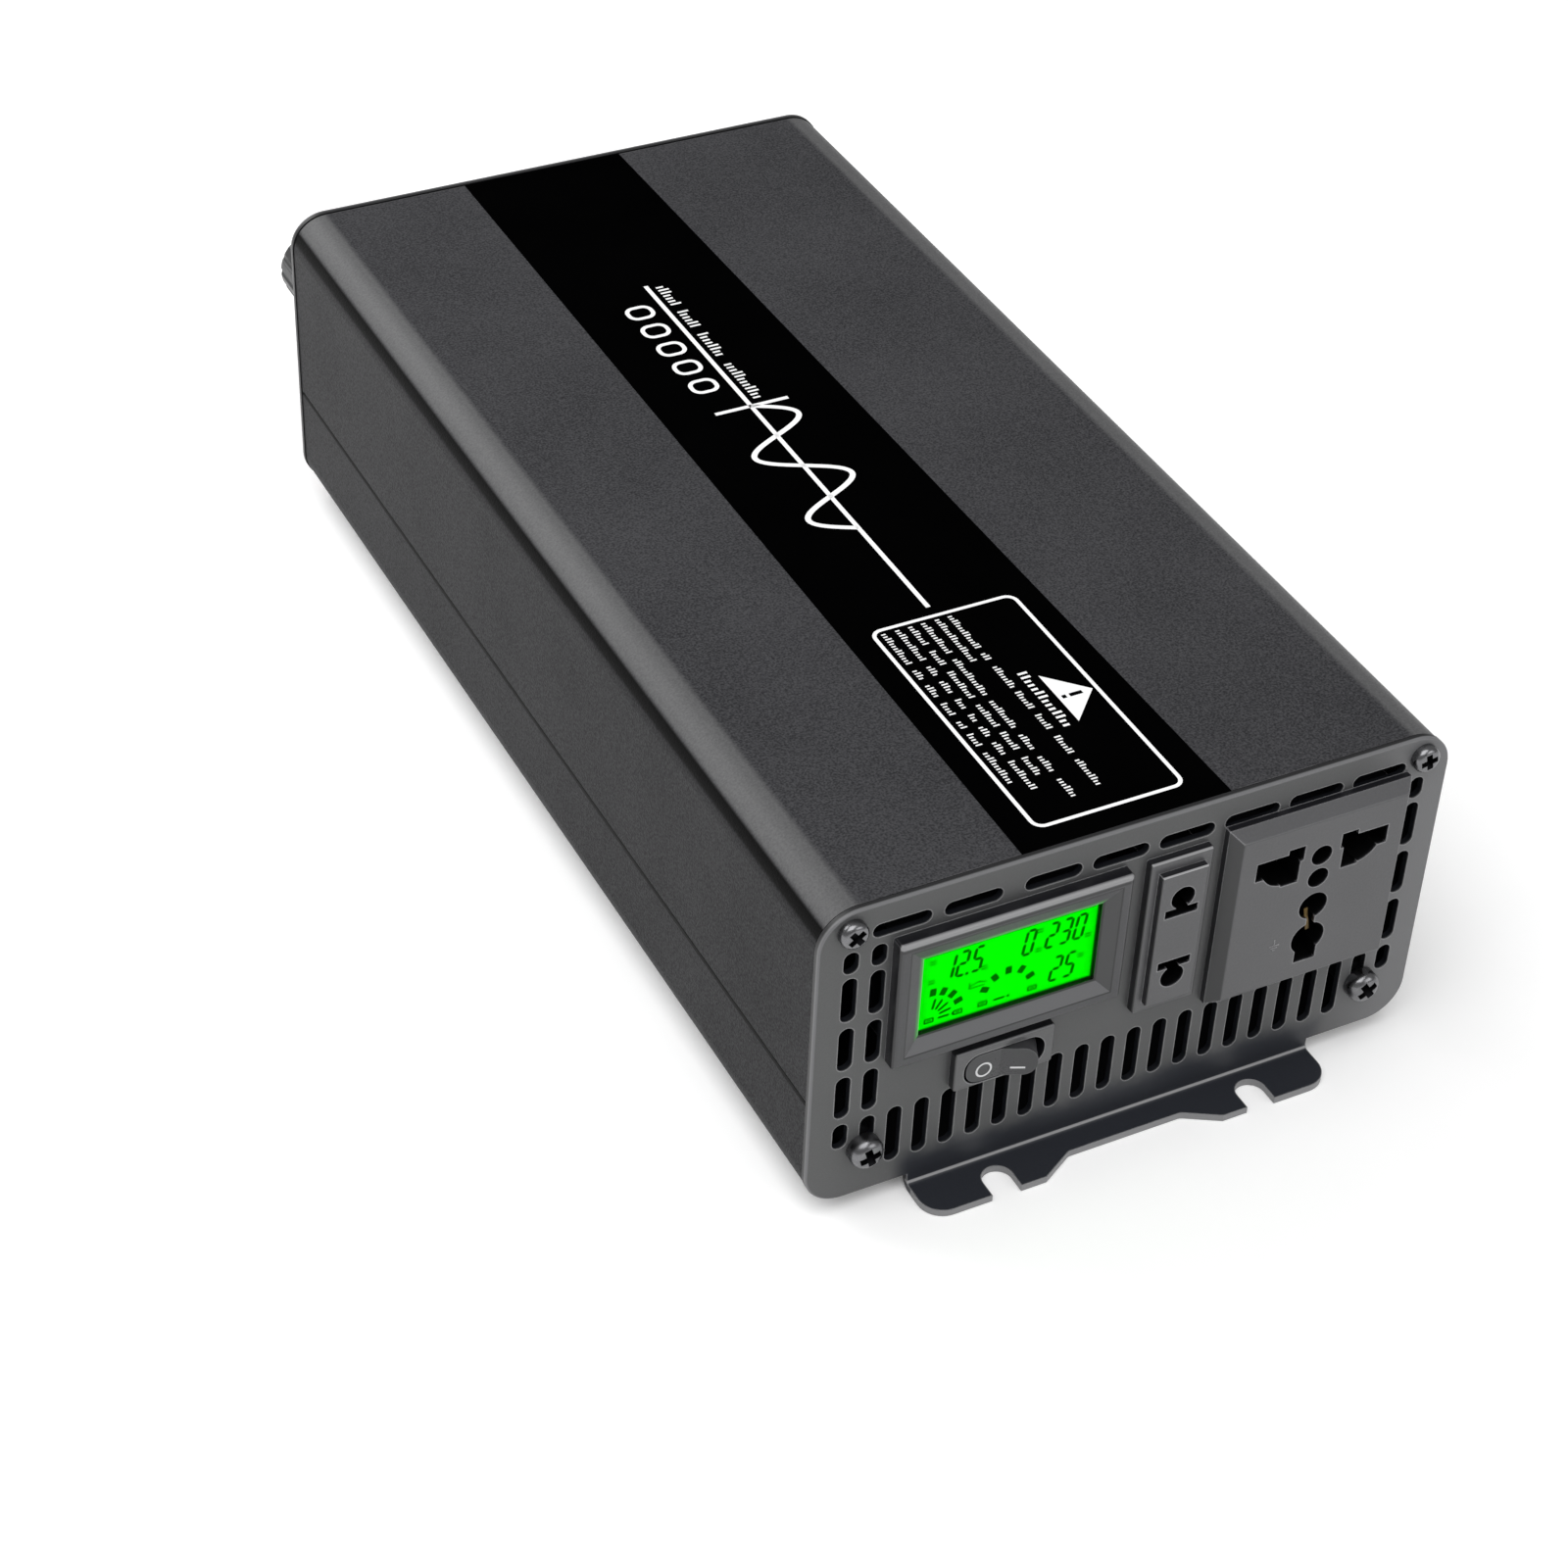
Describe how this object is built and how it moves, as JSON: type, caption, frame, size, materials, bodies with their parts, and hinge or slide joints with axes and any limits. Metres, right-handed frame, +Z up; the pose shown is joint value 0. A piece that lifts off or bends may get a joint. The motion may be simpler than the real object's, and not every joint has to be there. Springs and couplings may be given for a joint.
{
  "type": "power inverter",
  "caption": "Flat box-shaped power inverter with a lit meter, rocker switch, mains outlets, rear fan, screw-down battery terminals and folded mounting flanges.",
  "frame": {"origin": "centre of the bounding box, on the underside of the mounting flanges", "axes": "+X to the right as seen from the front panel, +Y from the front panel to the rear panel, +Z up"},
  "size_m": [0.132, 0.2964, 0.074],
  "materials": {
    "case_coat": "fine-grained dark grey powder coat",
    "panel_coat": "satin mid-grey powder coat",
    "strip_film": "black film with white line art",
    "screw_steel": "bright plated",
    "grey_plastic": "satin moulded",
    "dark_plastic": "satin moulded",
    "black_rocker": "satin moulded",
    "clear_window": "clear",
    "lit_display": "backlit green",
    "brass": "bright",
    "copper": "bright copper",
    "copper_wire": "enamelled copper wire",
    "red_plastic": "moulded",
    "black_plastic": "moulded",
    "board": "solder-masked board",
    "aluminium": "mill finish",
    "ferrite": "dull ferrite",
    "can_sleeve": "shrink sleeve",
    "fuse_amber": "translucent",
    "brown_lead": "insulated lead",
    "blue_lead": "insulated lead",
    "green_lead": "insulated lead",
    "red_lead": "insulated lead",
    "black_lead": "insulated lead"
  },
  "bodies": {
    "inverter": {"upper_cover": "case_coat", "lower_tray": "case_coat", "front_panel": "panel_coat", "rear_panel": "panel_coat", "top_label_strip": "strip_film", "case_screws_top": "screw_steel", "case_screws_bottom": "screw_steel", "meter_bezel": "grey_plastic", "meter_window": "clear_window", "meter_display": "lit_display", "meter_board": "board", "switch_frame": "grey_plastic", "switch_pivot": "screw_steel", "switch_blades": "brass", "twin_outlet_frame": "grey_plastic", "twin_outlet_insert": "grey_plastic", "twin_outlet_contacts": "brass", "outlet_face": "grey_plastic", "outlet_housing": "dark_plastic", "outlet_blade_contacts": "brass", "outlet_earth_contact": "brass", "fan_frame": "black_plastic", "fan_motor": "copper_wire", "fan_shaft": "screw_steel", "fan_guard": "screw_steel", "fan_screws": "screw_steel", "negative_collar": "black_plastic", "positive_collar": "red_plastic", "terminal_studs": "brass", "terminal_inner_nuts": "brass", "main_board": "board", "board_standoffs": "brass", "board_screws": "screw_steel", "heat_sinks": "aluminium", "power_transistors": "dark_plastic", "transistor_screws": "screw_steel", "transformer_cores": "ferrite", "transformer_windings": "copper_wire", "output_choke_core": "ferrite", "output_choke_winding": "copper_wire", "input_capacitors": "can_sleeve", "bus_capacitors": "can_sleeve", "control_board": "board", "control_chips": "dark_plastic", "fuse_holders": "dark_plastic", "blade_fuses": "fuse_amber", "negative_strap": "copper", "positive_strap": "copper", "live_wire": "brown_lead", "neutral_wire": "blue_lead", "earth_wire": "green_lead", "switch_wires": "red_lead", "meter_wires": "black_lead", "fan_wires": "red_lead"},
    "rocker": {"switch_rocker": "black_rocker"},
    "fan": {"fan_rotor": "black_plastic"},
    "negative_carrier": {"negative_washer": "brass"},
    "negative_knob_body": {"negative_knob": "black_plastic"},
    "positive_carrier": {"positive_washer": "brass"},
    "positive_knob_body": {"positive_knob": "red_plastic"}
  },
  "joints": [
    {"name": "rocker_press", "type": "hinge", "parent": "inverter", "child": "rocker", "pos_m": [-0.02685, -0.13625, 0.0279], "axis": [0, 0, 1], "range_deg": [0, 24]},
    {"name": "fan_spin", "type": "hinge", "parent": "inverter", "child": "fan", "pos_m": [0.0205, 0.11125, 0.0397], "axis": [0, 1, 0], "continuous": true},
    {"name": "negative_travel", "type": "slide", "parent": "inverter", "child": "negative_carrier", "axis": [0, 1, 0], "range_m": [0, 0.005]},
    {"name": "negative_turn", "type": "hinge", "parent": "negative_carrier", "child": "negative_knob_body", "pos_m": [-0.051, 0.13625, 0.0447], "axis": [0, 1, 0], "range_deg": [0, 1441]},
    {"name": "positive_travel", "type": "slide", "parent": "inverter", "child": "positive_carrier", "axis": [0, 1, 0], "range_m": [0, 0.005]},
    {"name": "positive_turn", "type": "hinge", "parent": "positive_carrier", "child": "positive_knob_body", "pos_m": [-0.022, 0.13625, 0.0447], "axis": [0, 1, 0], "range_deg": [0, 1441]}
  ],
  "couplings": [
    {"joint": "negative_turn", "follows": "negative_travel", "rad_per_m": 5026.5},
    {"joint": "positive_turn", "follows": "positive_travel", "rad_per_m": 5026.5}
  ]
}
